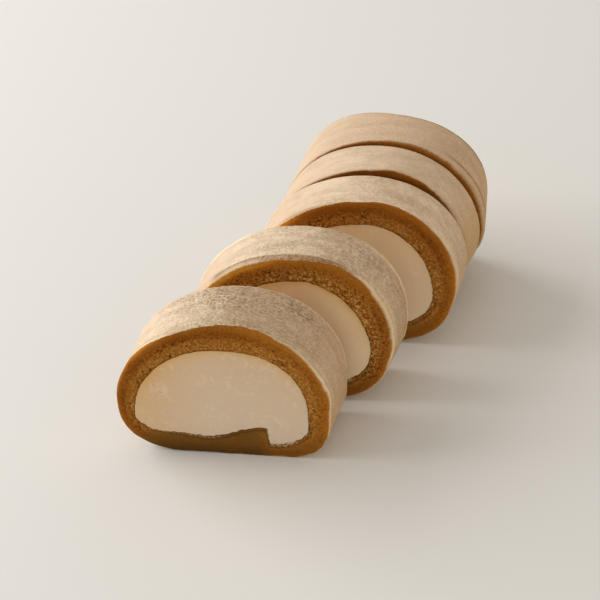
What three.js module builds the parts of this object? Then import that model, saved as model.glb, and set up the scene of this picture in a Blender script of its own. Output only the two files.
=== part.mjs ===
// A cream-filled swiss roll, cut into five thick slices that stand in a row on their flat bases.
// Each slice is a D-shaped ring of sponge sheet round a core of cream, and both are lofts: an outline
// stands on each of the slice's two cut faces, and straight walls join them.
// Units are millimetres, +Z is up, +Y runs along the roll and the shown cut faces look to -Y.

import * as THREE from 'three';

// ---------------------------------------------------------------- driving dimensions

const SEAM_GAP = 0.3;            // sponge to cream
const BASE_PRESS = 1.2;          // how far the roll's own weight flattens its round underside
const OUTLINE_STEPS = 26;        // points in each quarter of an outline

// The sheet's outer outline on a cut face: quarters of superellipses that meet at the belly line,
// where it is widest. An exponent of 2 is an ellipse and a higher one is squarer.
const ROLLED = {
  halfWidth: 42.5, top: 69.2, bottom: -BASE_PRESS, offset: 0, belly: 24.8,
  crownLeft: 2.3, crownRight: 1.9, baseLeft: 2.8, baseRight: 3.0,
};
const SLUMPED = { ...ROLLED, crownLeft: 2.1, crownRight: 2.05, baseLeft: 3.2, baseRight: 4.6 };

// The cream core has the same kind of outline, inside the sheet.
const CORE = {
  halfWidth: 33.1, top: 58.4, bottom: 8.2, offset: 0.2, belly: 23.5,
  crownLeft: 2.25, crownRight: 1.65, baseLeft: 2.3, baseRight: 2.7,
};
const SLUMPED_CORE = {
  ...CORE, halfWidth: 33.6, top: 55.9, bottom: 6.4, offset: -1.9, belly: 19.7,
  crownLeft: 2.06, crownRight: 2.32, baseLeft: 1.9, baseRight: 3.0,
};

// The sheet's inner end lies on the roll's floor and stops in a steep step that the cream fills.
const FLOOR_HEIGHT = 9.8;        // top of the lower sheet, where the inner end starts to rise
const FLOOR_TILT = 0.1;          // how much thicker the lower sheet gets per millimetre to the left
const END_RISE = 5.8;            // how far the inner end stands above the lower sheet
const END_FROM = -7.5;           // where it starts to rise
const END_CREST = 13.5;          // where it has reached its full height
const END_EDGE = 16;             // where the step starts
const END_FOOT = 17;             // where the step lands

// The slices, from the front. A cut face stands at x, y on the floor. Turn swings it about the
// upright, clockwise from above, and lean tips its top away from the front, both in degrees. The
// knife drags the soft roll, so each cut has an outline of its own, and shear moves its crown sideways.
const SLICES = [
  {
    core: SLUMPED_CORE,
    front: {
      x: -19.6, y: -69.1, turn: -2.4, lean: -3.1, shear: 0.14,
      ...SLUMPED, halfWidth: 41.7, belly: 29.4, crownLeft: 1.83, crownRight: 1.79, baseLeft: 2.85,
    },
    back: {
      x: -19.7, y: -44.8, turn: -7.3, lean: -3.0, shear: 0.07,
      ...SLUMPED, halfWidth: 41.5, top: 67.4, belly: 22.5,
    },
  },
  {
    core: CORE,
    front: {
      x: -5.1, y: -34.9, turn: -1.3, lean: 1.8, shear: 0.29, ...ROLLED, crownLeft: 2.49, baseRight: 3.3,
    },
    back: {
      x: -3.0, y: -14.2, turn: -2.3, lean: 1.7, shear: 0.13,
      ...ROLLED, halfWidth: 43, crownLeft: 2.1, crownRight: 2.1, baseRight: 2.5,
    },
  },
  {
    core: CORE,
    front: {
      x: 13.1, y: 2.7, turn: 2.0, lean: 1.6, shear: 0.29, ...ROLLED, crownLeft: 2.43, crownRight: 1.8,
    },
    back: {
      x: 13.8, y: 24.2, turn: -0.6, lean: -1.9, shear: 0.17,
      ...ROLLED, halfWidth: 43, top: 68.6, crownLeft: 2.14, crownRight: 2.0,
    },
  },
  {
    core: CORE,
    front: {
      x: 12.8, y: 25.0, turn: -0.3, lean: 0.4, shear: 0.28,
      ...ROLLED, halfWidth: 42.2, crownLeft: 2.24, crownRight: 1.82,
    },
    back: {
      x: 17.1, y: 43.7, turn: 2.9, lean: -0.1, shear: 0.18,
      ...ROLLED, halfWidth: 42.2, top: 68, crownRight: 1.88, baseRight: 2.4,
    },
  },
  {
    core: CORE,
    front: {
      x: 17.7, y: 44.5, turn: 2.9, lean: -0.1, shear: 0.19,
      ...ROLLED, halfWidth: 43.4, top: 69.4, crownLeft: 2.25, crownRight: 1.83, baseRight: 2.1,
    },
    back: {
      x: 18.4, y: 66.8, turn: 9.1, lean: -1.3, shear: 0.23,
      ...ROLLED, halfWidth: 41.1, top: 68.7, belly: 29, crownLeft: 2.48, crownRight: 2.16,
    },
  },
];

// ---------------------------------------------------------------- outlines

// One point of a closed outline, at an angle counted from the right-hand side over the crown.
function outlinePoint({ halfWidth, offset, top, bottom, belly, ...exponents }, angle) {
  const across = Math.cos(angle);
  const up = Math.sin(angle);
  const side = across >= 0 ? 'Right' : 'Left';
  const power = 2 / exponents[(up >= 0 ? 'crown' : 'base') + side];
  const reach = up >= 0 ? top - belly : bottom - belly;
  const x = offset + halfWidth * Math.sign(across) * Math.abs(across) ** power;
  return new THREE.Vector2(x, belly + reach * Math.abs(up) ** power);
}

function outlinePoints(outline) {
  const count = 4 * OUTLINE_STEPS;
  return Array.from({ length: count }, (_, i) => outlinePoint(outline, (2 * Math.PI * (i + 0.5)) / count));
}

// The outside of the sheet, with its underside pressed flat on the floor.
function skinOutline(skin) {
  return outlinePoints(skin).map(({ x, y }) => new THREE.Vector2(x, Math.max(0, y)));
}

// Height of the sheet's upper side along the roll's floor, with the inner end lying on it.
function floorHeight(x) {
  const thicker = FLOOR_TILT * Math.max(0, END_FROM - x);
  return FLOOR_HEIGHT + thicker + END_RISE * THREE.MathUtils.smoothstep(x, END_FROM, END_CREST);
}

// The inside of the sheet: the core's outline, over the inner end and down its step.
function hollowOutline(core) {
  const outline = outlinePoints(core);
  const upper = outline.filter(({ y }) => y >= core.belly);
  const lower = outline.filter(({ y }) => y < core.belly);
  const onEnd = lower.filter(({ x }) => x <= END_EDGE)
    .map(({ x, y }) => new THREE.Vector2(x, Math.max(y, floorHeight(x))));
  const beyond = lower.filter(({ x }) => x > END_FOOT);
  const edge = new THREE.Vector2(END_EDGE, floorHeight(END_EDGE));
  const foot = new THREE.Vector2(END_FOOT, beyond[0].y);
  return [...upper, ...onEnd, edge, foot, ...beyond];
}

// The same outline moved inwards, so that the cream clears the sponge all round.
function inset(points, distance) {
  return points.map((point, i) => {
    const before = points.at(i - 1);
    const after = points[(i + 1) % points.length];
    const along = after.clone().sub(before).normalize();
    return new THREE.Vector2(point.x - along.y * distance, point.y + along.x * distance);
  });
}

// ---------------------------------------------------------------- solids

// Moves an outline's crown sideways, about the belly line.
function sheared(outline, shear, belly) {
  return outline.map(({ x, y }) => new THREE.Vector2(x + shear * (y - belly), y));
}

// Puts an outline on a cut face: upright on the floor, swung by its turn and tipped by its lean.
function onFace({ x, y, turn, lean }, outline) {
  const swing = THREE.MathUtils.degToRad(turn);
  const across = new THREE.Vector3(Math.cos(swing), -Math.sin(swing), 0);
  const upward = new THREE.Vector3(Math.sin(swing), Math.cos(swing), 0)
    .multiplyScalar(Math.tan(THREE.MathUtils.degToRad(lean)))
    .setZ(1);
  return outline.map((point) => new THREE.Vector3(x, y, 0)
    .addScaledVector(across, point.x)
    .addScaledVector(upward, point.y));
}

// A closed solid between a slice's two cut faces. Each face has a rim, and a hole if it is a ring.
function loft(front, back) {
  const vertices = [front, back].flatMap(({ face, rim, hole }) => onFace(face, [...rim, ...hole]));
  const count = vertices.length / 2;
  const faces = [];
  [front, back].forEach(({ rim, hole }, end) => {
    for (const [a, b, c] of THREE.ShapeUtils.triangulateShape(rim, hole.length ? [hole] : [])) {
      faces.push(...(end ? [count + a, count + c, count + b] : [a, b, c]));
    }
  });
  const wall = (start, length, outward) => {
    for (let i = 0; i < length; i += 1) {
      const here = start + i;
      const next = start + ((i + 1) % length);
      for (const corners of [[next, here, count + here], [next, count + here, count + next]]) {
        faces.push(...(outward ? corners : corners.reverse()));
      }
    }
  };
  wall(0, front.rim.length, true);
  wall(front.rim.length, front.hole.length, false);
  const solid = new THREE.BufferGeometry().setFromPoints(vertices);
  solid.setIndex(faces);
  solid.computeVertexNormals();
  return solid;
}

// ---------------------------------------------------------------- the roll

const spongeMaterial = new THREE.MeshStandardMaterial({ color: 0xa8672a, roughness: 0.9, metalness: 0 });
const creamMaterial = new THREE.MeshStandardMaterial({ color: 0xe3c6a0, roughness: 0.6, metalness: 0 });

// The outlines of sheet, hollow and cream on one cut face.
function cutOutlines(core, face) {
  const hollow = hollowOutline(core);
  return {
    skin: sheared(skinOutline(face), face.shear, face.belly),
    hollow: sheared(hollow, face.shear, core.belly),
    cream: sheared(inset(hollow, SEAM_GAP), face.shear, core.belly),
  };
}

function buildSlice(slice, number) {
  const ends = [slice.front, slice.back].map((face) => ({ face, ...cutOutlines(slice.core, face) }));
  const ring = ends.map(({ face, skin, hollow }) => ({ face, rim: skin, hole: hollow }));
  const plug = ends.map(({ face, cream }) => ({ face, rim: cream, hole: [] }));
  const sponge = new THREE.Mesh(loft(...ring), spongeMaterial);
  sponge.name = `slice_${number}_sponge`;
  const cream = new THREE.Mesh(loft(...plug), creamMaterial);
  cream.name = `slice_${number}_cream`;
  return [sponge, cream];
}

// The origin lies under the middle of the whole row, on the floor.
function centreOnFloor(group) {
  const box = new THREE.Box3().setFromObject(group);
  const middle = box.getCenter(new THREE.Vector3());
  group.position.set(-middle.x, -middle.y, -box.min.z);
}

const roll = new THREE.Group();
roll.name = 'swiss_roll';
SLICES.forEach((slice, i) => roll.add(...buildSlice(slice, i + 1)));
centreOnFloor(roll);

export default roll;
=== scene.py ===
# %% [markdown]
# # A cream-filled swiss roll, cut into five slices
#
# A swiss roll is a sheet of sponge cake rolled round cream. This one has a single turn: the sheet
# goes once round a thick core, its browned side out, and its two ends meet on the underside. It is
# cut into five slices that stand on their flat bases.
#
# Each slice is two pieces: a ring of sponge and the cream inside it. A solid model of them is
# loaded first as a fixed frame. It says where everything is, and this lesson builds the looks.

# %% Load the solid frame
import itertools
import math

import bpy
import numpy as np
from mathutils import Matrix, Vector


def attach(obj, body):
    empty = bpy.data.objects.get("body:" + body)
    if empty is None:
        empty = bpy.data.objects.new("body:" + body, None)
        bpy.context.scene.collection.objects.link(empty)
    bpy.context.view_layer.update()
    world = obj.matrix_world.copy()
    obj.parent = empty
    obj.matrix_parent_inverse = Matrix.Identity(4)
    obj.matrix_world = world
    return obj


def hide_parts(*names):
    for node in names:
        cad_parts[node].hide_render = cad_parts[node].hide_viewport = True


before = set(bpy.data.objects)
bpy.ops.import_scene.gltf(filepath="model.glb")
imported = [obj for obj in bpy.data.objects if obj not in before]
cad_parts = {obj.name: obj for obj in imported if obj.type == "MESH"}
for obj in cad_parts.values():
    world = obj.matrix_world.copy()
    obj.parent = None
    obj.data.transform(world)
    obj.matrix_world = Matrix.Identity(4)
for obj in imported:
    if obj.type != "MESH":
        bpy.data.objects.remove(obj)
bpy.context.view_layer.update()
MM = 0.001                          # Blender works in metres, a baker in millimetres

# %% [markdown]
# ## The shape of a cut face
#
# Seen from the front, a slice is a D lying on its flat side: a rounded crown, fuller on the left
# than on the right, over a base that its own weight has pressed flat. Such a shape could be drawn
# as a Bezier curve. A superellipse is easier to steer: it is an ellipse with an exponent, where 2
# is round and a higher number is squarer, and each quarter of the D gets an exponent of its own.
#
# The cream has the same kind of outline inside the sheet. The sheet's inner end lies on the floor
# of the roll, rises towards its tip and breaks off in a step, which the cream fills.

# %% Numbers for the cut faces, in millimetres
ROLLED = dict(half_width=42.5, top=69.2, bottom=-1.2, offset=0, belly=24.8,
              crown_left=2.3, crown_right=1.9, base_left=2.8, base_right=3.0)
SLUMPED = dict(ROLLED, crown_left=2.1, crown_right=2.05, base_left=3.2, base_right=4.6)
CORE = dict(half_width=33.1, top=58.4, bottom=8.2, offset=0.2, belly=23.5,
            crown_left=2.25, crown_right=1.65, base_left=2.3, base_right=2.7)
SLUMPED_CORE = dict(CORE, half_width=33.6, top=55.9, bottom=6.4, offset=-1.9, belly=19.7,
                    crown_left=2.06, crown_right=2.32, base_left=1.9, base_right=3.0)
FLOOR_HEIGHT, FLOOR_TILT = 9.8, 0.1   # the lower sheet's top, and how it thickens to the left
END_FROM, END_CREST = -7.5, 13.5      # where the inner end starts to rise, and where it crests
END_RISE = 5.8                        # how far it rises
END_EDGE, END_FOOT = 16, 17           # where it breaks off, and where that slope lands


# %% The outlines as functions
def smoothstep(value, start, stop):
    """0 before start and 1 after stop, with an S-shaped ramp between them."""
    t = np.clip((value - start) / (stop - start), 0, 1)
    return t * t * (3 - 2 * t)


def outline_quarter(shape, quarter, steps=400):
    """One quarter of a superellipse. Quarters run from the right-hand side over the crown."""
    angle = np.linspace(quarter, quarter + 1, steps) * math.pi / 2
    across, up = np.cos(angle), np.sin(angle)
    side = ("crown_right", "crown_left", "base_left", "base_right")[quarter]
    reach = shape["top" if quarter < 2 else "bottom"] - shape["belly"]
    power = 2 / shape[side]
    x = shape["offset"] + shape["half_width"] * np.sign(across) * np.abs(across) ** power
    return np.c_[x, shape["belly"] + reach * np.abs(up) ** power]


def floor_height(x):
    """Height of the sheet's upper side along the roll's floor, with the inner end lying on it."""
    thicker = FLOOR_TILT * np.maximum(0, END_FROM - x)
    return FLOOR_HEIGHT + thicker + END_RISE * smoothstep(x, END_FROM, END_CREST)


# %% [markdown]
# ## Points in step round two outlines
#
# The sponge is a web stretched between the outer and the inner outline, so both need the same
# number of points, and partners that lie opposite each other. Spacing the points evenly along each
# quarter does that: the crowns, sides and bases then meet, and no face of the mesh is a sliver.
# The quarter with the inner end's step is cut in three, so that the step has its own columns.

# %% Stretches of an outline
COLUMNS = (150, 150, 126, 44, 16, 74)            # points along each stretch, about 0.45 mm apart
STEP_BELOW = (END_EDGE - 1.5, END_FOOT + 0.5)    # the stretch of skin under the step


def skin_stretches(face):
    """The outside of the sheet, with its underside pressed flat on the floor."""
    quarters = [outline_quarter(face, quarter) for quarter in range(4)]
    for points in quarters:
        points[:, 1] = np.maximum(points[:, 1], 0)
    first, second = (int(np.argmax(quarters[3][:, 0] > x)) for x in STEP_BELOW)
    right = quarters[3]
    return quarters[:3] + [right[:first + 1], right[first:second + 1], right[second:]]


def hollow_stretches(core):
    """The inside of the sheet, over its inner end and down the step."""
    quarters = [outline_quarter(core, quarter) for quarter in range(4)]
    left, right = quarters[2:]
    left[:, 1] = np.maximum(left[:, 1], floor_height(left[:, 0]))
    over = right[right[:, 0] <= END_EDGE]
    over[:, 1] = np.maximum(over[:, 1], floor_height(over[:, 0]))
    past = right[right[:, 0] > END_FOOT]
    edge = np.array([[END_EDGE, floor_height(END_EDGE)]])
    foot = np.array([[END_FOOT, past[0, 1]]])
    return quarters[:2] + [left, np.r_[over, edge], np.r_[edge, foot], np.r_[foot, past]]


def evenly(points, count):
    """The same curve as count points the same distance apart, without its last one."""
    run = np.r_[0, np.cumsum(np.linalg.norm(np.diff(points, axis=0), axis=1))]
    at = np.linspace(0, run[-1], count, endpoint=False)
    return np.c_[np.interp(at, run, points[:, 0]), np.interp(at, run, points[:, 1])]


def closed_outline(stretches):
    return np.vstack([evenly(points, count) for points, count in zip(stretches, COLUMNS)])


def outward(points):
    """The direction that points away from the middle, at each point of a closed outline."""
    along = np.roll(points, -1, 0) - np.roll(points, 1, 0)
    along /= np.linalg.norm(along, axis=1, keepdims=True)
    return np.c_[along[:, 1], -along[:, 0]]


def softened(points, passes):
    """Rounds the corners of a closed outline by averaging each point with its neighbours."""
    for _ in range(passes):
        points = (np.roll(points, 1, 0) + 2 * points + np.roll(points, -1, 0)) / 4
    return points


trial = closed_outline(skin_stretches(ROLLED))
print("skin outline:", len(trial), "points,", round(float(np.ptp(trial[:, 0])), 1), "mm wide")

# %% [markdown]
# ## Five slices in a row
#
# The knife drags the soft roll, so no two cuts are alike. Each cut face has its place on the
# floor, a turn about the upright, a lean, a shear that pushes its crown sideways, and small changes
# to the outline. The two front slices have been drawn forward, and the last three still touch.
#
# Baking and cutting leave each slice with traits of its own. One that changes round the ring is a
# short list of (place, size): the place is counted in millimetres round the skin from the crown,
# and left is minus.
#
# - wrap: how far behind the cut the skin starts, or minus where the knife dragged it over the edge
# - lip, lip_width: how pale the skin's very edge is, partly a painted highlight on its rounding, and
#   minus where it is painted shade, as in the gaps between slices, and how wide that edge is
# - swell: how far the cream pushes the sponge outward
# - crust: 1 where the skin is floury and minus 1 where it is well baked, which also paints light:
#   paler where the window lights the crown and browner in the shade on the right
# - marks: folds, creases, wrinkles and bands, each on a line at some distance behind the cut
# - worn: how much rounder a cut's edge is on its left and on its right
# - grain, calm: how rough the skin is, like a peach's, and how far that fades on the right
# - golden: how golden the crumb under the skin is, partly a painted glow of the window light through
#   its lit left edge, and the place where that ends
# - lighter_from, loose: where the crumb starts to turn lighter, the darker crumb before it being
#   partly painted shade, as in the gaps of the touching slices, and how open it is
# - dried, stained: how dull the cream is, which is painted light, dim where less light reaches it, and
#   the sponge's tan on it with painted orange light from the sponge: everywhere, high up, along the
#   upper edge, and towards the left

# %% The slices
def cut(x, y, turn, lean, shear, worn=(0, 0), **outline):
    return dict(ROLLED, x=x, y=y, turn=turn, lean=lean, shear=shear, worn=worn, **outline)


def mark(kind, line, depth, width, tone=0, fade=8, wander=0.3):
    return dict(kind=kind, line=np.array(line).T, depth=depth, width=width, tone=tone, fade=fade,
                wander=wander)


# The far slices share these traits, unless one says otherwise.
# Their crumb stays dark far to the right, as painted shade in the gaps where they touch.
FAR = dict(core=CORE, golden_glow=(1, -20), lighter_from=60, dimmed=0.4, stain_and_bounce=(0, .10, .50, .15))
SLICES = [
    dict(core=SLUMPED_CORE, grain=1.15, calm=0.65, loose=0.85, golden_glow=(0.2, -15), lighter_from=-12,
         dimmed=1.0, stain_and_bounce=(0, .22, .62, .42), lip=[(-20, .5), (0, .3), (20, .5), (60, .7)],
         crust_and_light=[(-50, 0), (-12, 1), (5, -.15), (25, .2), (45, -.3), (60, -.6)],
         front=cut(-19.6, -69.1, -2.4, -3.1, .14, worn=(.7, 0), **dict(
                   SLUMPED, half_width=41.7, belly=29.4, crown_left=1.83, crown_right=1.79,
                   base_left=2.85)),
         back=cut(-19.7, -44.8, -7.3, -3.0, .07,
                  **dict(SLUMPED, half_width=41.5, top=67.4, belly=22.5)),
         wrap=[(-66, 4), (-58, 5.8), (-48, 4.8), (-40, 2.4), (-30, .7), (-20, -.6), (-10, -.7),
               (0, .2), (8, .9), (20, .4), (30, -.3), (44, -.9), (56, -.6), (68, 0)],
         swell=[(-98, 0), (-88, .8), (-76, 0), (-64, .3), (-48, .7), (-30, .6), (-8, 0), (58, 0),
                (68, .5), (80, .9), (92, 1.0), (100, .7), (108, -.1), (116, -.1), (120, 0)],
         marks=[mark("wrinkles", [(-42, 2.6), (-22, 3.0), (0, 3.6)], 0, 2.3, fade=10),
                mark("crease", [(-40, 3.4), (-4, 3.7)], 0.18, 0.5, tone=.15),
                mark("band", [(4, 2.0), (16, 2.2)], 0, 2.0, tone=-.35, fade=6),
                mark("band", [(28, 2.0), (60, 2.4)], 0, 2.0, tone=.30)]),
    dict(core=CORE, grain=0.85, loose=1.7, golden_glow=(1.7, 12), lighter_from=-40, dimmed=0.15,
         stain_and_bounce=(0, .14, .85, .15), lip_width=2.1,
         lip=[(-60, 1), (-28, 1), (-16, .1), (10, -.2), (26, .5), (50, .7)],
         crust_and_light=[(-50, 0), (-12, .9), (8, .4), (25, .4), (45, -.2), (60, -.6)],
         swell=[(12, 0), (28, .3), (50, .2), (66, .7), (84, 1.1), (98, 1.0), (110, 0)],
         front=cut(-5.1, -34.9, -1.3, 1.8, .29, worn=(1.3, .8), crown_left=2.49, base_right=3.3),
         back=cut(-3.0, -14.2, -2.3, 1.7, .13, half_width=43, crown_left=2.1, crown_right=2.1,
                  base_right=2.5),
         wrap=[(-60, -.4), (-44, -.9), (-14, -.9), (2, -.4), (14, 0), (24, -.9), (34, -1.9),
               (50, -1.4), (62, 0)],
         marks=[mark("fold", [(-44, 1.2), (-35, 1.8), (-22, 2.4), (-3, 2.3), (8, 1.5), (20, .9)],
                     0.65, 2.4, tone=-.65, fade=6, wander=0.25),
                mark("band", [(26, 1.6), (66, 1.6)], 0, 2.0, tone=.45),
                mark("crease", [(26, 1.4), (50, 1.8), (74, 1.2)], 0.30, 0.4, fade=6)]),
    dict(FAR, grain=0.42, golden_glow=(1.5, -5), lighter_from=25, lip=[(-20, .6), (4, .3), (30, .2)],
         crust_and_light=[(-50, 0), (-12, .6), (8, .35), (28, .6), (45, 0), (60, -.4)],
         swell=[(-30, 0), (-18, -.4), (-6, -.3), (8, 0), (20, .5), (40, .5), (54, 0)],
         front=cut(13.1, 2.7, 2.0, 1.6, .29, worn=(.7, 0), crown_left=2.43, crown_right=1.8),
         back=cut(13.8, 24.2, -.6, -1.9, .17, half_width=43, top=68.6, crown_left=2.14,
                  crown_right=2.0),
         wrap=[(-50, -.3), (-30, -.8), (-16, -.5), (-4, .3), (10, .8), (24, .8), (44, .5), (60, 0)],
         marks=[mark("band", [(30, 2.4), (58, 2.4)], 0, 2.0, tone=.4)]),
    dict(FAR, grain=0.25, lip=[(-34, .4), (-16, -.3), (8, -.4), (30, .2)],
         crust_and_light=[(-50, 0), (-12, .4), (8, .2), (28, .3), (45, -.6), (60, -1)],
         front=cut(12.8, 25.0, -.3, .4, .28, worn=(0, 1.3), half_width=42.2, crown_left=2.24,
                   crown_right=1.82),
         back=cut(17.1, 43.7, 2.9, -.1, .18, worn=(0, .5), half_width=42.2, top=68, crown_right=1.88,
                  base_right=2.4),
         wrap=[(-40, -1.0), (-22, -.8), (-4, -.5), (16, -.2), (34, -1.4), (60, -1.6)]),
    dict(FAR, grain=0.30, lip=[(-50, 0), (-28, -.6), (8, -1), (30, -.6), (60, -.4)],
         crust_and_light=[(-50, 0), (-12, -.1), (8, -.2), (28, -.3), (45, -.6), (60, -.8)],
         front=cut(17.7, 44.5, 2.9, -.1, .19, worn=(0, 2.1), half_width=43.4, top=69.4,
                   crown_left=2.25, crown_right=1.83, base_right=2.1),
         back=cut(18.4, 66.8, 9.1, -1.3, .23, half_width=41.1, top=68.7, belly=29,
                  crown_left=2.48, crown_right=2.16),
         wrap=[(-60, -1.2), (-40, -.8), (-22, -.5), (-4, 0), (16, .1), (36, -.6), (66, -1.2)],
         marks=[mark("crease", [(22, 4.0), (46, 4.6), (70, 4.2)], 0.40, 0.6, tone=-.6)]),
]
SIDES = "front", "back"
for number, part in enumerate(SLICES, 1):
    part["seed"] = 1000 * number


# %% Standing an outline on its cut face
def sheared(points, shear, belly):
    """Moves an outline's crown sideways, about the belly line."""
    return np.c_[points[:, 0] + shear * (points[:, 1] - belly), points[:, 1]]


def on_face(face, points):
    """Stands an outline on a cut face, swung by its turn and tipped by its lean."""
    swing, lean = math.radians(face["turn"]), math.tan(math.radians(face["lean"]))
    across = np.array([math.cos(swing), -math.sin(swing), 0])
    upward = np.array([math.sin(swing) * lean, math.cos(swing) * lean, 1])
    place = np.array([face["x"], face["y"], 0]) + ROW_SHIFT
    return place + points[..., :1] * across + points[..., 1:] * upward


ROW_SHIFT = np.zeros(3)
rims = np.vstack([
    on_face(face, sheared(closed_outline(skin_stretches(face)), face["shear"], face["belly"]))
    for face in (part[side] for part in SLICES for side in SIDES)])
low, high = rims.min(0), rims.max(0)
ROW_SHIFT = -(low + high) / 2 * (1, 1, 0)      # the origin is under the middle of the row
print("row:", np.round(high - low, 2).tolist(), "mm, shifted by", np.round(ROW_SHIFT, 3).tolist())

# %% [markdown]
# ## Noise that comes out the same every time
#
# Crumb, grain and waves all start from smooth random numbers. Blender's Displace modifier could
# add them, but worked out on the points themselves they can be mixed, masked and used again as
# colours. A lattice of whole-numbered corners each gets a number from its position, and
# everything between is blended. Pores are the other kind: one small ball in some of the cells.

# %% Lattice noise
def corner_value(cell, seed):
    """A repeatable number from 0 to 1 for each whole-numbered corner of a lattice."""
    mixed = cell[..., 0] * 73856093 ^ cell[..., 1] * 19349663 ^ cell[..., 2] * 83492791
    mixed = (mixed ^ seed * 2654435761) & 0xFFFFFFFF
    for _ in range(2):
        mixed = ((mixed ^ mixed >> 16) * 0x45D9F3B) & 0xFFFFFFFF
    return (mixed ^ mixed >> 16) / 0xFFFFFFFF


def waves(points, size, seed):
    """Smooth noise from -1 to 1 whose humps are about size across. Size may differ by axis."""
    spot = points / size
    corner = np.floor(spot).astype(np.int64)
    near = spot - corner
    near = near * near * (3 - 2 * near)
    total = 0
    for step in itertools.product((0, 1), repeat=3):
        weight = np.prod(np.where(step, near, 1 - near), axis=-1)
        total += weight * corner_value(corner + np.array(step), seed)
    return 2 * total - 1


def pores(points, size, share, seed):
    """How deep a point lies in the nearest pore, from 0 to 1. Share of the cells have one."""
    spot = points / size
    corner = np.floor(spot).astype(np.int64)
    deepest = np.zeros(spot.shape[:-1])
    for step in itertools.product((-1, 0, 1), repeat=3):
        cell = corner + np.array(step)
        centre = cell + np.stack([corner_value(cell, seed + k) for k in range(3)], -1)
        radius = 0.25 + 0.3 * corner_value(cell, seed + 3)
        depth = 1 - np.sum((spot - centre) ** 2, -1) / radius ** 2
        deepest = np.where(corner_value(cell, seed + 4) < share, np.maximum(deepest, depth), deepest)
    return deepest


# %% [markdown]
# ## The ring of sponge
#
# The ring could be an extruded curve with a bevel. Built as one grid it takes detail better: the
# columns go round the D, and the rows go round the sheet's own cross-section, from the front cut
# through the hollow and the back cut to the skin. Rows crowd together at the corners to round
# them. The grid closes on itself both ways, so neighbours are always one step away, and the
# direction of the surface comes from subtracting them.

# %% The sheet's cross-section
EDGE_ROUNDING, HOLLOW_ROUNDING = 0.7, 0.2      # the sheet's edges, in millimetres
FACE_ROWS, SKIN_ROWS, WALL_ROWS = 32, 46, 4
WORN_LEFT, WORN_RIGHT = (-8, -44), (4, 46)      # a worn edge gets rounder over these stretches


def cross_section(thickness, length, front_edge, back_edge):
    """Rows of (distance under the skin, distance behind the front cut) for every column."""
    def straight(start, stop, rows):
        return start + (stop - start) * np.linspace(0, 1, rows)[:, None]

    def corner(rows):
        bend = np.linspace(0, math.pi / 2, rows)[1:-1, None]
        return 1 - np.sin(bend), 1 - np.cos(bend)

    none, inner = 0 * thickness, HOLLOW_ROUNDING + 0 * thickness
    sharp, blunt = corner(3), corner(7)
    parts = [
        (straight(front_edge, thickness - inner, FACE_ROWS), straight(none, none, FACE_ROWS)),
        (thickness - inner * sharp[0], inner * sharp[1]),
        (straight(thickness, thickness, WALL_ROWS), straight(inner, length - inner, WALL_ROWS)),
        (thickness - inner * sharp[1], length - inner * sharp[0]),
        (straight(thickness - inner, back_edge, FACE_ROWS), straight(length, length, FACE_ROWS)),
        (back_edge * blunt[0], length - back_edge * blunt[1]),
        (straight(none, none, SKIN_ROWS), straight(length - back_edge, front_edge, SKIN_ROWS)),
        (front_edge * blunt[1], front_edge * blunt[0]),
    ]
    return np.vstack([p[0] for p in parts]), np.vstack([p[1] for p in parts])


def surface_direction(grid):
    """The unit normal at every point of a grid that closes on itself both ways."""
    down = np.roll(grid, -1, 0) - np.roll(grid, 1, 0)
    sideways = np.roll(grid, -1, 1) - np.roll(grid, 1, 1)
    normal = np.cross(sideways, down)
    return normal / np.maximum(np.linalg.norm(normal, axis=-1, keepdims=True), 1e-9)


# %% The cream's edge on a cut face
BEAD, BEAD_DEPTH = 1.5, 0.6           # the cream's beads past the step
BEADS_STOP = (18, 38)                 # how high up the right-hand side they fade out
HOLLOW_SOFTENING = 5                  # how much the corners of the step are rounded
FACES_APART = 7.3                     # between the noise of a slice's two faces


def round_the_skin(skin):
    """The distance from the crown along a closed outline, to the right."""
    steps = np.linalg.norm(np.roll(skin, -1, 0) - skin, axis=1)
    run = np.cumsum(steps) - steps
    around = run[COLUMNS[0]] - run
    around[sum(COLUMNS[:3]):] += steps.sum()
    return around


def along(knots, around):
    """A size given at a few places round the skin, joined up by straight lines."""
    places, sizes = np.array(knots).T
    return np.interp(around, places, sizes)


def ragged(points, face_number, seed):
    """How far the cream's edge strays outward, in millimetres."""
    flat = np.c_[points, np.full(len(points), FACES_APART * face_number)]
    low_down = 1 - smoothstep(points[:, 1], 10, 20)
    low_down *= 1 - 0.7 * (np.abs(points[:, 0] - END_EDGE) < 6)
    height = waves(flat, 1.7, seed) + 0.7 * waves(flat, 0.9, seed + 1)
    stray = (0.12 + 0.34 * low_down) * height + 0.14 * waves(flat, 6, seed + 2)
    along_edge = points.sum(1) / BEAD + 0.6 * waves(flat, 3, seed + 3)
    beads = BEAD_DEPTH * np.abs(np.sin(math.pi * along_edge)) * (0.6 + 0.4 * waves(flat, 4, seed + 4))
    past_step = (points[:, 0] > END_FOOT) * (1 - smoothstep(points[:, 1], *BEADS_STOP))
    return stray + beads * past_step


def cut_outlines(part, side):
    """The skin's and the hollow's outline on one cut face, flat, in millimetres."""
    face, core, number = part[side], part["core"], SIDES.index(side)
    skin = closed_outline(skin_stretches(face))
    hollow = softened(closed_outline(hollow_stretches(core)), HOLLOW_SOFTENING)
    stray = ragged(hollow, number, part["seed"])
    stray += along(part.get("swell", [(0, 0)]), round_the_skin(skin))
    hollow = hollow + outward(hollow) * stray[:, None]
    return sheared(skin, face["shear"], face["belly"]), sheared(hollow, face["shear"], core["belly"])


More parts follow.
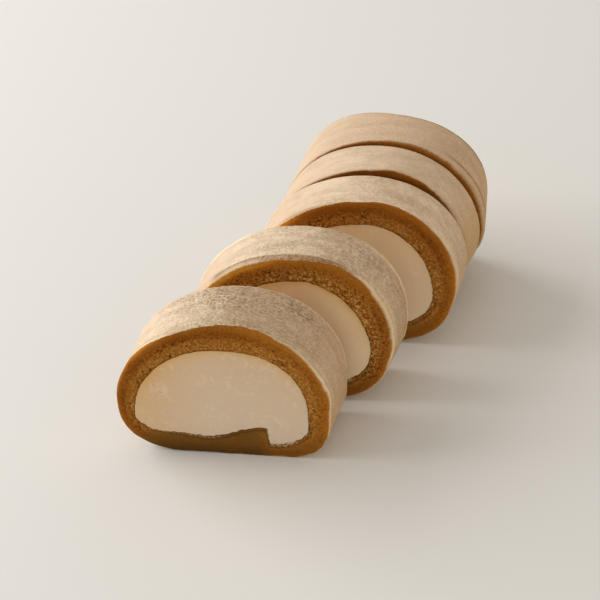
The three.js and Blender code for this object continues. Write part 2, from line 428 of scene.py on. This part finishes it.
# %% The ring before its crumb and grain
def bare_ring(part):
    """The smooth ring, and what each of its points knows about where it is on the slice."""
    flat = {side: cut_outlines(part, side) for side in SIDES}
    skin, hollow = ([on_face(part[side], flat[side][i]) for side in SIDES] for i in (0, 1))
    around = round_the_skin(skin[0])
    thickness = np.mean([np.linalg.norm(s - h, axis=1) for s, h in zip(skin, hollow)], axis=0)
    length = np.linalg.norm(skin[1] - skin[0], axis=1)
    worn = smoothstep(around, *WORN_LEFT), smoothstep(around, *WORN_RIGHT)
    edges = [EDGE_ROUNDING + sum(map(np.multiply, part[side]["worn"], worn)) for side in SIDES]
    under, behind = cross_section(thickness, length, *edges)
    s, t = (under / thickness)[..., None], (behind / length)[..., None]
    front, back = (skin[k] + (hollow[k] - skin[k]) * s for k in (0, 1))
    grid = front + (back - front) * t
    outer, inner = (points[:, 0] for points in flat["front"])
    across = outer + (inner - outer) * s[..., 0]
    wavy = waves(np.c_[around, 0 * around, 0 * around], 3.5, part["seed"] + 10)
    wrap = along(part["wrap"], around) + 0.35 * wavy
    rim = np.minimum(behind - wrap, length - behind - 0.1) - under
    return grid, dict(under=under, thickness=0 * under + thickness, behind=behind,
                      around=0 * under + around, rim=rim, across=across)


# %% [markdown]
# ## Crumb, skin and the knife's marks
#
# Near the skin the sponge is dense and smooth. Towards the cream it opens into pores with small
# lumps between them, and at the base it is pressed tight again. The skin has slow waves from the
# rolling and a fine grain like a peach's. Each of these moves the surface in or out by a few
# tenths of a millimetre, so each is a height in millimetres, and the heights are simply added up.
#
# A crease is a groove in the skin, and where it is darker that is painted shade. A fold is a slope
# that ends in a ridge, where the knife pushed the skin back, and it gets painted shade up to its pale
# lip, which is partly a painted highlight. A band only changes the colour. Wrinkles are too fine for
# the mesh, so the material draws them: pale ridges, partly painted highlight, with painted shade
# between them.
#
# On the base a faint line rises from the floor towards the inner end: there the sheet's outer end
# laps over it, and its dark colour is painted shade in the crevice of that seam.

# %% Heights of the crumb
LAP_FROM, LAP_HEIGHT, LAP_SLOPE, LAP_TO = -1.9, 7.7, 4.2, 20
LEFT_CORNER = (-36, -26)              # left of this stretch the base is pressed less high up


def lap_line(grid, where):
    """1 on the line where the sheet's two ends lap over each other, fading to 0 beside it."""
    x = where["across"]
    line = LAP_HEIGHT * (1 - np.exp(-(x - LAP_FROM) / LAP_SLOPE))
    near = np.exp(-((grid[..., 2] - line) / 0.4) ** 2)
    return near * (x > LAP_FROM) * (1 - smoothstep(x, LAP_TO - 6, LAP_TO))


def crumb_height(grid, where, part):
    seed = part["seed"] + 20
    share = where["under"] / where["thickness"]
    pressed = 1 - smoothstep(grid[..., 2] - 5 * smoothstep(where["across"], *LEFT_CORNER), 1, 11)
    right = smoothstep(where["around"], 10, 50)
    opened = smoothstep(share + 0.15 * right, 0.2, 0.5) * (1 - 0.8 * pressed)
    clustered = smoothstep(waves(grid, 4.5, seed + 24), -0.5, 0.4)
    pit = np.maximum(pores(grid, 1.5, 0.20, seed), 0.8 * pores(grid, 0.95, 0.3, seed + 10))
    pit = pit * opened * clustered * (1 - 0.45 * right)
    lumps = 0.10 * waves(grid, 1.1, seed + 20) + 0.08 * waves(grid, 0.6, seed + 21)
    drag = 0.12 * waves(grid, 7, seed + 22) + 0.06 * waves(grid, 2.6, seed + 23)
    where["lap"] = lap_line(grid, where) * smoothstep(where["under"], 0.2, 0.8)
    where["open"] = opened * part.get("loose", 1)
    where["pit"] = pit
    return drag + lumps * (0.2 + 0.8 * opened) - 0.42 * pit - 0.15 * where["lap"]


# %% Heights of the skin
def mark_shape(kind, past_line, width):
    """The height of a mark across itself: a crease is a groove, and a fold a slope with a ridge."""
    if kind != "fold":
        return -np.exp(-(past_line / width) ** 2)
    slope = smoothstep(past_line, -width, 0)
    return slope * (1 - smoothstep(past_line, 0, 2.2 * width))


def mark_tone(kind, past_line, width, rim):
    """Where a mark changes the skin's colour. A fold gets painted shade from its line up to its lip.
    """
    if kind != "fold":
        return np.exp(-((past_line - 0.5 * width) / width) ** 2)
    return smoothstep(rim, 0, 0.4) * (1 - smoothstep(past_line, -0.5, 0.1))


def rolled_flat(where):
    """Places on the skin as if the sheet lay flat."""
    return np.stack([where["around"], where["behind"], 0 * where["around"]], -1)


def skin_height(where, part):
    seed, flat = part["seed"] + 60, rolled_flat(where)
    height = 0.22 * waves(flat, np.array([22, 9, 1]), seed) + 0.08 * waves(flat, 5, seed + 1)
    height += 0.09 * part["grain"] * waves(flat, np.array([2.6, 1.3, 1]), seed + 2)
    height += 0.05 * part["grain"] * waves(flat, np.array([1.5, 1.2, 1]), seed + 4)
    tone = np.zeros_like(height)
    where["wrinkled"] = np.zeros_like(height)
    for entry in part.get("marks", ()):
        places, distances = entry["line"]
        line = np.interp(where["around"], places, distances)
        past_line = where["behind"] - line - entry["wander"] * waves(flat, 9, seed + 3)
        start, stop, fade = places[0], places[-1], entry["fade"]
        reach = smoothstep(where["around"], start - fade, start + fade)
        reach *= 1 - smoothstep(where["around"], stop - fade, stop + fade)
        if entry["kind"] == "wrinkles":
            where["wrinkled"] += reach * np.exp(-(past_line / entry["width"]) ** 2)
            continue
        change = mark_tone(entry["kind"], past_line, entry["width"], where["rim"])
        height += entry["depth"] * reach * mark_shape(entry["kind"], past_line, entry["width"])
        tone += entry["tone"] * reach * change
    # the lip is partly a painted highlight on the edge, and where minus it is painted shade
    lip = along(part["lip"], where["around"])
    lip_width = part.get("lip_width", 1) + 1.1 * smoothstep(where["around"], 10, 40)
    at_edge = 1 - smoothstep(where["rim"], 0.4 * lip_width, lip_width)
    where["tone"] = tone * (1 - at_edge * np.clip(lip, 0, 1)) + lip * at_edge
    return height


# %% The finished ring
def grain_strength(where, part):
    """How rough the browned skin is: most from the crown to the right, hardly on the left."""
    patchy = 1 + 0.45 * waves(rolled_flat(where), np.array([13, 7, 1]), part["seed"] + 80)
    fading = 1 - part.get("calm", 0) * smoothstep(where["around"], 24, 46)
    return part["grain"] * smoothstep(where["around"], -46, -2) * fading * patchy


def finished_ring(part):
    grid, where = bare_ring(part)
    normal = surface_direction(grid)
    cut_face = smoothstep(-where["rim"], -0.3, 1.1)
    height = cut_face * crumb_height(grid, where, part) + (1 - cut_face) * skin_height(where, part)
    inside = smoothstep(where["under"], where["thickness"] - 0.25, where["thickness"])
    underside = (1 - smoothstep(grid[..., 2], 0.2, 3)) * (normal[..., 2] < -0.2)
    grid += normal * (height * (1 - inside) * (1 - underside))[..., None]
    grid[..., 2] = np.maximum(grid[..., 2], 0)
    where["pit"] = where["pit"] * cut_face
    where["grain"] = grain_strength(where, part)
    # how baked the skin is, also painting light: paler on the lit crown, browner in the shade
    where["crust_and_light"] = along(part["crust_and_light"], where["around"])
    # how golden the rim is, partly a painted glow of the window light at the left
    golden_glow, golden_to = part["golden_glow"]
    where["golden_glow"] = golden_glow * (1 - smoothstep(where["around"], golden_to - 40, golden_to))
    # where the crumb turns lighter; the darker crumb before it is partly painted shade
    where["lighter"] = smoothstep(where["around"], part["lighter_from"], part["lighter_from"] + 42)
    return grid, where


# %% [markdown]
# ## From a grid to a mesh
#
# A grid becomes a mesh by naming the four corners of each of its squares. What a point knows,
# such as how far it is under the skin, is stored on the mesh as attributes, and the materials
# read them later.

# %% Making the sponge meshes
def add_object(name, data):
    """Puts a mesh, a lamp or a camera into the scene."""
    made = bpy.data.objects.new(name, data)
    bpy.context.scene.collection.objects.link(made)
    return made


def new_piece(name, points, faces, traits):
    mesh = bpy.data.meshes.new(name)
    mesh.from_pydata((points * MM).tolist(), [], faces.tolist())
    mesh.shade_smooth()
    for label, values in traits.items():
        layer = mesh.attributes.new(label, "FLOAT", "POINT")
        layer.data.foreach_set("value", np.ravel(values).astype(np.float32))
    piece = add_object(name, mesh)
    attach(piece, "root")
    return piece


def grid_faces(rows, columns):
    """The corner numbers of each square of a grid that closes on itself both ways."""
    number = np.arange(rows * columns).reshape(rows, columns)
    number = np.vstack([number, number[:1]])
    number = np.hstack([number, number[:, :1]])
    corners = number[:-1, :-1], number[:-1, 1:], number[1:, 1:], number[1:, :-1]
    return np.stack([c.ravel() for c in corners], 1)


sponges = []
for number, part in enumerate(SLICES, 1):
    grid, where = finished_ring(part)
    sponge = new_piece(f"sponge_ring_{number}", grid.reshape(-1, 3), grid_faces(*grid.shape[:2]),
                       {**where, "slice": np.full(where["under"].shape, number)})
    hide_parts(f"slice_{number}_sponge")
    sponges.append(sponge)
    print(sponge.name, 2 * len(sponge.data.polygons), "triangles")

# %% [markdown]
# ## The cream
#
# The cream fills the ring. Its cut face is almost flat, with the faint smears that a wiped knife
# leaves. A fan of triangles would do for a flat face but has nothing to bend, so the face is a web:
# loops that shrink from the cream's edge to a heart. From the heart the whole edge has to be in
# sight, also the foot of the step, or the loops would fold over the sponge. For the same reason
# only the outermost loops are as ragged as the edge, and the others follow a softened one.

# %% The cream's edge and its heart
EDGE_POINTS, LOOPS = 408, 28
HEART = np.array([[21, 42]])          # on the cut face, in millimetres
CROWDING = 1.6                        # above 1, loops lie closer together near the edge
CALMING, RAGGED_FROM = 30, 20         # how much the inner loops are softened, and how soon
CREAM_GAP, CREAM_ROUNDING = 0.05, 0.18
EDGE_STEPS = (0.30, 0.05), (0.71, 0.29), (0.95, 0.70), (1, 1)    # the rounding, outward and back


def cream_outline(part, side, margin):
    """The cream's edge on a cut face, some way inside the hollow's."""
    hollow = cut_outlines(part, side)[1]
    inner = hollow - outward(hollow) * margin
    return evenly(np.vstack([inner, inner[:1]]), EDGE_POINTS)


# %% The cream's face
def smears(points, seed):
    """Heights of a wiped cream face, in millimetres."""
    tilted = points @ np.array([[1, .3, 0], [0, 1, 0], [-.3, 1, 1]])
    height = 0.10 * waves(points, 11, seed) + 0.05 * waves(tilted, np.array([2.2, 5, 6]), seed + 1)
    return height - 0.10 * pores(points, 3.4, 0.06, seed + 2)


def cream_face(part, side):
    """The heart of a cut face and the loops round it. The last ones round the edge over."""
    face, sign = part[side], 1 if side == "front" else -1
    swing = math.radians(face["turn"])
    facing = np.array([-math.sin(swing), -math.cos(swing), 0]) * sign
    heart = sheared(HEART, face["shear"], part["core"]["belly"])
    edge = cream_outline(part, side, CREAM_GAP + CREAM_ROUNDING)
    reach = 1 - (1 - np.linspace(0, 1, LOOPS + 1)[:, None, None]) ** CROWDING
    calm = softened(edge, CALMING)
    edges = calm + (edge - calm) * reach ** RAGGED_FROM
    web = on_face(face, heart + (edges - heart) * reach)
    web += facing * smears(web, part["seed"] + 90 + sign)[..., None] * (reach < 1)
    loops = list(web[1:])
    for out, back in EDGE_STEPS:
        loop = cream_outline(part, side, CREAM_GAP + CREAM_ROUNDING * (1 - out))
        loops.append(on_face(face, loop) - facing * CREAM_ROUNDING * back)
    return web[0, :1], loops


def cream_plug(part):
    """All points and faces of a slice's cream: a chain of loops from one heart to the other."""
    points, faces, chains, count = [], [], [], 0
    for side in SIDES:
        heart, loops = cream_face(part, side)
        number = count + 1 + np.arange(len(loops) * EDGE_POINTS).reshape(len(loops), -1)
        first = number[0]
        fan = [np.full(EDGE_POINTS // 2, count), first[::2], first[1::2], np.roll(first, -2)[::2]]
        faces.append(np.stack(fan if side == "front" else fan[::-1], 1))
        chains.append(list(number))
        points += [heart, *loops]
        count += 1 + number.size
    chain = chains[0] + chains[1][::-1]
    for here, there in zip(chain, chain[1:]):
        faces.append(np.stack([here, there, np.roll(there, -1), np.roll(here, -1)], 1))
    return np.vstack(points), np.vstack(faces)


# %% Stains and painted bounce light on the cream
def stain_and_bounce_light(points, part):
    """Tan and painted orange bounce light from the sponge, from 0 to 1: most along the top edge."""
    base, high_up, by_the_edge, to_the_left = part["stain_and_bounce"]
    hollow = np.vstack([on_face(part[side], cut_outlines(part, side)[1]) for side in SIDES])
    from_edge = np.full(len(points), np.inf)
    for rim_point in hollow[::3]:
        from_edge = np.minimum(from_edge, np.linalg.norm(points - rim_point, axis=1))
    high = smoothstep(points[:, 2], 14, 54)
    left = smoothstep(np.median(hollow[:, 0]) - points[:, 0], 4, 34)
    return base + high_up * high + by_the_edge * high * np.exp(-from_edge / 2.5) + to_the_left * left


# %% Making the cream meshes
creams = []
for number, part in enumerate(SLICES, 1):
    points, faces = cream_plug(part)
    # the cream's dimness is painted light, and its stain also paints the sponge's orange bounce light
    cream = new_piece(f"cream_core_{number}", points, faces,
                      {"stain_and_bounce": stain_and_bounce_light(points, part), "dimmed": np.full(len(points), part["dimmed"])})
    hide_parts(f"slice_{number}_cream")
    creams.append(cream)
    print(cream.name, 2 * len(cream.data.polygons), "triangles")

# %% [markdown]
# ## Shader maths as Python
#
# A material is a tree of nodes, and wiring each sum by hand hides the idea. The small class below
# stands for one wire. Adding, subtracting, multiplying or dividing wires adds the Math nodes for
# it, and one method adds any other node.

# %% A wire in a node tree
class Wire:
    """One output of a shader node."""

    def __init__(self, tree, socket):
        self.tree, self.socket = tree, socket

    @classmethod
    def node(cls, tree, kind, settings=None, sockets=None, output=0):
        """Adds a node of any kind: its settings first, then values or wires for its sockets."""
        made = tree.nodes.new("ShaderNode" + kind)
        for name, value in (settings or {}).items():
            setattr(made, name, value)
        for name, value in (sockets or {}).items():
            hole = made.inputs[name]
            if isinstance(name, str):
                hole = next(s for s in made.inputs if s.enabled and s.name == name)
            if isinstance(value, Wire):
                tree.links.new(value.socket, hole)
            elif hole.type == "RGBA":
                hole.default_value = (*value, 1)
            else:
                hole.default_value = value
        outputs = [s for s in made.outputs if s.enabled]
        return cls(tree, next((s for s in outputs if s.name == output), outputs[0]))

    def maths(self, operation, *numbers):
        return Wire.node(self.tree, "Math", {"operation": operation}, dict(enumerate(numbers)))

    def __add__(self, other): return self.maths("ADD", self, other)
    def __radd__(self, other): return self.maths("ADD", other, self)
    def __sub__(self, other): return self.maths("SUBTRACT", self, other)
    def __rsub__(self, other): return self.maths("SUBTRACT", other, self)
    def __mul__(self, other): return self.maths("MULTIPLY", self, other)
    def __rmul__(self, other): return self.maths("MULTIPLY", other, self)
    def __truediv__(self, other): return self.maths("DIVIDE", self, other)
    def __rtruediv__(self, other): return self.maths("DIVIDE", other, self)

    def between(self, start, stop):
        """0 below start and 1 above stop, smoothly."""
        return Wire.node(self.tree, "MapRange", {"interpolation_type": "SMOOTHSTEP"},
                         {"Value": self, "From Min": start, "From Max": stop})

    def within(self, rise, fall):
        """1 between two stretches: it rises over the first and falls over the second."""
        return self.between(*rise) * (1 - self.between(*fall))

    def at_most(self, limit):
        return self.maths("MINIMUM", self, limit)

    def under(self, cover, factor):
        """This colour with another one laid over it, as strongly as the factor says."""
        return blend(self.tree, self, cover, factor)


# %% Helpers for materials
def new_material(name):
    material = bpy.data.materials.new(name)
    material.use_nodes = True
    material.node_tree.nodes.clear()
    return material, material.node_tree


def blend(tree, colour, cover, factor):
    """Two colours mixed: 0 gives the first one and 1 the second."""
    return Wire.node(tree, "Mix", {"data_type": "RGBA", "clamp_factor": True},
                     {"Factor": factor, "A": colour, "B": cover})


def coated(colour, *coats):
    """A colour under several coats of (colour, strength), the last one outermost."""
    for cover, factor in coats:
        colour = colour.under(cover, factor)
    return colour


def known(tree, label):
    """A value that the mesh stores at each of its points."""
    return Wire.node(tree, "Attribute", {"attribute_name": label}, output="Fac")


def speckle(tree, where, size, detail, roughness=0.5):
    """Noise from 0 to 1, mostly between 0.3 and 0.7, with features of about size metres."""
    return Wire.node(tree, "TexNoise", None, {
        "Vector": where, "Scale": 1 / size, "Detail": detail, "Roughness": roughness})


def cook(tree, sockets):
    """The Principled shader and the material's output."""
    surface = Wire.node(tree, "BsdfPrincipled", None, sockets)
    output = tree.nodes.new("ShaderNodeOutputMaterial")
    tree.links.new(surface.socket, output.inputs["Surface"])


# %% [markdown]
# ## Sponge: browned skin outside, coffee-brown crumb inside
#
# One material covers the ring, because the skin and the crumb are one baked sheet. It could be
# painted as an image, but it would then have to be unwrapped. Here it reads how far under the
# skin each point lies, and builds the colour up in thin coats, like glazes. The crumb has a golden
# rim, partly a painted glow of the window light through the lit left edge, and a dense layer under
# the skin, kept dark on the touching slices as painted shade. Then come open crumb with light and
# dark grain, pores painted dark as shade, a pressed base, a moist dark line against the cream, the
# lap seam with painted shade in its crevice, and crumbs with cream smeared on them where the knife
# left the ring.
#
# The skin lies over them all. It goes from floury to well baked, which also paints light: paler on
# the crown that the window lights, browner in the shade on the right. It has streaks along the way it
# was rolled and a fine felt of dark specks and pale fibres, the pale partly a painted highlight on
# its tiny lumps. Where skin meets crumb, the edge is frayed by noise, so that no clean line shows.

# %% Colours of the sponge
# the orange and the golden rim colours are partly a painted glow of the window light at the left
UNDER_SKIN, ORANGE_GLOW, GOLDEN_GLOW = (0.47, 0.195, 0.025), (0.66, 0.215, 0.012), (0.82, 0.44, 0.060)
# the darker dense colour is partly the crumb's own and partly painted shade where slices touch
DENSE, DENSE_DARK_AND_SHADE = (0.41, 0.150, 0.014), (0.25, 0.070, 0.003)
CRUMB, CRUMB_LIGHT, CRUMB_DARK = (0.39, 0.152, 0.020), (0.68, 0.41, 0.130), (0.18, 0.054, 0.005)
# the pore colour is painted shade inside the pores
PORE_SHADE, PRESSED, BOTTOM = (0.11, 0.032, 0.004), (0.165, 0.076, 0.013), (0.055, 0.025, 0.005)
# the lap colour is painted shade in the seam's crevice
MOIST, LAP_CREVICE_SHADE, CREAMY = (0.085, 0.028, 0.004), (0.22, 0.075, 0.015), (0.74, 0.54, 0.33)
# the floury and the baked skin colours also paint light: paler where lit, browner in the shade
SKIN, SKIN_FLOURY_AND_LIT, SKIN_BAKED_AND_SHADED = (0.675, 0.492, 0.341), (0.86, 0.69, 0.510), (0.58, 0.380, 0.190)
SKIN_DULL, SKIN_SPECK = (0.455, 0.330, 0.205), (0.31, 0.170, 0.080)
# the pale colour is partly painted highlight; the shade colour is painted shade
SKIN_PALE, SKIN_SHADE = (0.95, 0.77, 0.49), (0.34, 0.190, 0.085)


# %% The crumb's coats
INNER_END = (-8, 6), (15, 19)         # over the inner end the dark base reaches higher
PAST_STEP = (82, 90), (104, 108)      # round the skin, where cream is smeared on the crumb
LOWER_LEFT = (-80, -70)               # left of this there is a little, too


def crumb_colour(tree, place, fray):
    under, thickness, around, across, opened = (
        known(tree, label) for label in ("under", "thickness", "around", "across", "open"))
    share = (under + (fray - 0.5) * 1.2) / thickness
    patches = speckle(tree, place, 12 * MM, 1) - 0.5
    # where the crumb turns lighter; the darker crumb before it is partly painted shade
    lighter = known(tree, "lighter") + patches
    # the golden rim, partly a painted glow of the window light through the lit left edge
    golden_glow = known(tree, "golden_glow") + patches * 0.4
    rim = blend(tree, UNDER_SKIN, ORANGE_GLOW, golden_glow).under(GOLDEN_GLOW, (golden_glow - 1) * 0.9)
    rim_reach = 1 - (share - 0.13 * golden_glow).between(-0.04, 0.16)
    grain = speckle(tree, place, 0.95 * MM, 3, 0.65)
    light = 0.10 + opened * (0.10 + 0.55 * share.between(0.45, 0.85))
    height = Wire.node(tree, "SeparateXYZ", None, {"Vector": place}, output="Z") / MM
    frayed = height + (fray - 0.5) * 6 + (1 - across.between(*LEFT_CORNER)) * 4
    above_end = frayed - across.within(*INNER_END) * 6
    looser = 1 - 0.55 * across.between(8, 18)
    from_cream = thickness - under + (fray - 0.5) * 0.9
    seep = from_cream.within((0.9, 1.6), (1.7, 2.6)) * (1 - frayed.between(10, 30))
    crumbly = (1 - from_cream.between(0.4, 2.0)) * grain.between(0.44, 0.56)
    smeared = around.within(*PAST_STEP) * 0.8 + (1 - around.between(*LOWER_LEFT)) * 0.25
    colour = coated(
        blend(tree, DENSE_DARK_AND_SHADE, DENSE, lighter * 0.6 + golden_glow * 0.5),
        (DENSE, (1 - share.between(0.14, 0.30)) * (0.42 + 0.58 * lighter)),
        (rim, rim_reach * (0.20 + 0.25 * lighter + 0.50 * golden_glow)),
        (CRUMB, share.between(0.42, 0.60)),
        (CRUMB_LIGHT, grain.between(0.50, 0.64) * light),
        (CRUMB_DARK, (1 - grain.between(0.36, 0.50)) * (0.28 + 0.46 * opened)),
        # partly painted shade, as in the gaps between the touching slices
        (DENSE_DARK_AND_SHADE, (1 - lighter).between(0, 1) * share.between(0.3, 0.6) * 0.22),
        # painted shade inside the pores
        (PORE_SHADE, (known(tree, "pit") * 2.0).at_most(0.85)),
        (PRESSED, (1 - above_end.between(7, 17)) * looser * 0.9),
        (BOTTOM, (1 - frayed.between(-1, 9)) * looser * 0.72),
        # painted shade in the seam's crevice
        (LAP_CREVICE_SHADE, known(tree, "lap") * grain.between(0.30, 0.55) * 0.8),
        (MOIST, (1 - from_cream.between(0.15, 0.9)) * 0.55 + seep * 0.6),
        (CREAMY, crumbly * smeared))
    return colour, grain


# %% The skin's coats
def skin_colour(tree, place):
    around, behind, grain, tone, wrinkled = (
        known(tree, label) for label in ("around", "behind", "grain", "tone", "wrinkled"))

    def rolled_out(stretch, size, detail):
        """Noise on the flat sheet, drawn out along the way it is rolled."""
        spot = {"X": around * (MM / stretch), "Y": behind * MM, "Z": known(tree, "slice")}
        return speckle(tree, Wire.node(tree, "CombineXYZ", None, spot), size, detail, 0.6)

    streaks = rolled_out(5, 3.8 * MM, 2).between(0.38, 0.66)
    wrinkles = rolled_out(9, 0.9 * MM, 2).between(0.38, 0.64) * wrinkled
    felt = rolled_out(1.6, 0.8 * MM, 3)
    mottles = speckle(tree, place, 3 * MM, 3, 0.6).between(0.34, 0.66)
    # floury to well baked, also painting light: paler on the lit crown, browner in the shade
    crust_and_light = known(tree, "crust_and_light") + 0.08 + (mottles - 0.5) * (0.08 + 0.42 * grain)
    colour = coated(
        blend(tree, SKIN, SKIN_FLOURY_AND_LIT, crust_and_light.between(0, 1)),
        (SKIN_BAKED_AND_SHADED, (0 - crust_and_light).between(0, 1)),
        (SKIN_DULL, (1 - mottles) * (0.02 + 0.26 * grain) + streaks * 0.32),
        (SKIN_SPECK, (1 - felt.between(0.34, 0.54)) * (0.01 + 0.54 * grain)),
        # the pale fibres are partly a painted highlight on the felt's tiny lumps
        (SKIN_PALE, felt.between(0.52, 0.66) * (0.01 + 0.36 * grain)),
        # wrinkles: painted shade between them here, and a painted highlight on their ridges below
        (SKIN_DULL, (1 - wrinkles) * wrinkled * 0.35),
        # painted shade on folds, dark lips and darkened creases
        (SKIN_SHADE, (0 - tone).between(0, 1) * (0.4 + 1.2 * felt.between(0.3, 0.7))),
        (SKIN_PALE, tone.between(0, 1) + wrinkles * 0.40))
    return colour, felt * (0.04 + 0.96 * grain) + wrinkles * 0.5


# %% The sponge's finish
def sponge_finish():
    material, tree = new_material("baked_sponge")
    place = Wire.node(tree, "TexCoord", output="Object")
    fray = speckle(tree, place, 1.1 * MM, 3, 0.6)
    crumb, grain = crumb_colour(tree, place, fray)
    skin, relief = skin_colour(tree, place)
    soft = 0.25 + 0.75 * known(tree, "around").between(4, 44)
    covered = ((known(tree, "rim") + (fray - 0.5) * 1.2) / soft).between(-1, 1)
    grit = grain * (0.3 + 0.9 * known(tree, "open")) * (1 - covered) + relief * covered * 3.4
    bump = Wire.node(tree, "Bump", None, {"Strength": 0.8, "Distance": 0.35 * MM, "Height": grit})
    cook(tree, {"Base Color": crumb.under(skin, covered), "Roughness": 0.92 - 0.08 * covered,
                "Normal": bump, "Subsurface Weight": 0.25, "Subsurface Radius": (1.0, 0.42, 0.12),
                "Subsurface Scale": 2.2 * MM, "Specular IOR Level": 0.06})
    return material


sponge_material = sponge_finish()
for sponge in sponges:
    sponge.data.materials.append(sponge_material)
print("sponge nodes:", len(sponge_material.node_tree.nodes))

# %% [markdown]
# ## Cream: smooth, matt and a little translucent
#
# Light goes a few millimetres into cream before it comes out, which softens every shadow on it.
# Subsurface scattering does that. The material mixes a dim beige and a warm, brighter one as each
# slice says, which is painted light: dim where less light reaches the cream, as on the front slice,
# and warm where the orange sponge round it throws light on it. The sponge has tanned the cream along
# its upper edge, and that coat also paints the orange light from the sponge, high up and to the left.
# The knife has left a few pale flecks.

# %% The cream's finish
# the warm and the dim cream colours paint the cream in more and in less light
CREAM_WARM_LIT, CREAM_DIMMED = (0.95, 0.75, 0.49), (0.745, 0.60, 0.445)
# the tan is partly the sponge's stain and partly painted orange light thrown from the sponge
CREAM_TAN_AND_BOUNCE, CREAM_FLECK = (0.73, 0.405, 0.115), (0.93, 0.82, 0.66)


def cream_finish():
    material, tree = new_material("whipped_cream")
    place = Wire.node(tree, "TexCoord", output="Object")
    flecks = speckle(tree, place, 2.2 * MM, 4, 0.6).between(0.46, 0.66)
    some = speckle(tree, place, 11 * MM, 1).between(0.48, 0.60)
    colour = coated(
        # dim where less light reaches the cream: painted light
        blend(tree, CREAM_WARM_LIT, CREAM_DIMMED, known(tree, "dimmed")),
        # partly painted orange bounce light from the sponge
        (CREAM_TAN_AND_BOUNCE, known(tree, "stain_and_bounce")),
        (CREAM_FLECK, flecks * (0.05 + 0.22 * some)))
    film = speckle(tree, place, 1.6 * MM, 3, 0.55)
    relief = film + flecks * some
    bump = Wire.node(tree, "Bump", None, {"Strength": 0.4, "Distance": 0.2 * MM, "Height": relief})
    cook(tree, {"Base Color": colour, "Roughness": 0.5 + 0.15 * film, "Normal": bump,
                "Subsurface Weight": 0.35, "Subsurface Radius": (1.0, 0.7, 0.45),
                "Subsurface Scale": 2.5 * MM, "Specular IOR Level": 0.2})
    return material


cream_material = cream_finish()
for cream in creams:
    cream.data.materials.append(cream_material)
print("cream nodes:", len(cream_material.node_tree.nodes))

# %% [markdown]
# ## Camera
#
# The camera looks down at the row from its front right, through a long lens that keeps the far
# slices nearly as large as the near ones, and it is rolled a little so that the row climbs to the
# right. It is placed by walking back from the point it looks at.

# %% The camera
AIM = Vector((-14.89, 23.98, 0)) * MM
DISTANCE = 836.6 * MM
AZIMUTH, ELEVATION, ROLL = (math.radians(a) for a in (18.5, 39.501, -7.968))
LENS = 120                            # millimetres, on the usual 36 mm sensor
NEAREST = 50 * MM                     # nothing nearer than this is drawn


def facing(azimuth, elevation):
    """The turn of something that looks at the origin. Azimuth 0 looks along +Y, from the front."""
    return Matrix.Rotation(azimuth, 4, "Z") @ Matrix.Rotation(math.pi / 2 - elevation, 4, "X")


def stepped_back(turned, distance, target=Vector()):
    """Where something turned like this stands to look at a target."""
    return Matrix.Translation(target + turned.to_3x3() @ Vector((0, 0, distance))) @ turned


lens = bpy.data.cameras.new("camera")
lens.lens, lens.clip_start = LENS, NEAREST
camera = add_object("camera", lens)
rolled = facing(AZIMUTH, ELEVATION) @ Matrix.Rotation(ROLL, 4, "Z")
camera.matrix_world = stepped_back(rolled, DISTANCE, AIM)
bpy.context.scene.camera = camera
print("camera at", [round(v, 3) for v in camera.matrix_world.translation])

# %% [markdown]
# ## Floor and light
#
# Food looks soft under one large window-like light from the side, which rakes over the skins and
# leaves the cut faces in gentle shade. The pale floor and an even warm sky fill the shade, and a
# faint warm lamp low on the other side stands for the light that a wooden table throws back. The
# window could be a sun, but an area lamp gives softer edges to the shadows.

# %% The floor
FLOOR_CORNERS = [(-3, -3, 0), (3, -3, 0), (3, 3, 0), (-3, 3, 0)]    # in metres
floor_mesh = bpy.data.meshes.new("floor")
floor_mesh.from_pydata(FLOOR_CORNERS, [], [(0, 1, 2, 3)])
floor = add_object("floor", floor_mesh)
floor_material, floor_tree = new_material("pale_floor")
cook(floor_tree, {"Base Color": (0.80, 0.79, 0.77), "Roughness": 0.9, "Specular IOR Level": 0.1})
floor_mesh.materials.append(floor_material)

# %% The light
DISTANCE_TO_LAMPS = 1.3
SKY_COLOUR, SKY_STRENGTH = (1.0, 0.955, 0.88), 0.55


def add_lamp(name, azimuth, elevation, size, power, colour):
    """A square lamp that looks at the row. Its angles are like the camera's."""
    lamp = bpy.data.lights.new(name, "AREA")
    lamp.shape, lamp.size, lamp.energy, lamp.color = "SQUARE", size, power, colour
    holder = add_object(name, lamp)
    aimed = facing(math.radians(azimuth), math.radians(elevation))
    holder.matrix_world = stepped_back(aimed, DISTANCE_TO_LAMPS)
    print(name, "at", [round(v, 2) for v in holder.matrix_world.translation])


add_lamp("window", -97, 27.5, 1.3, 17, (1.0, 1.0, 1.0))
add_lamp("warm_card", 70, 13, 1.0, 2.3, (1.0, 0.70, 0.36))

world = bpy.data.worlds.new("studio")
world.use_nodes = True
sky = world.node_tree.nodes["Background"]
sky.inputs["Color"].default_value = (*SKY_COLOUR, 1)
sky.inputs["Strength"].default_value = SKY_STRENGTH
bpy.context.scene.world = world
bpy.context.scene.view_settings.view_transform = "Standard"
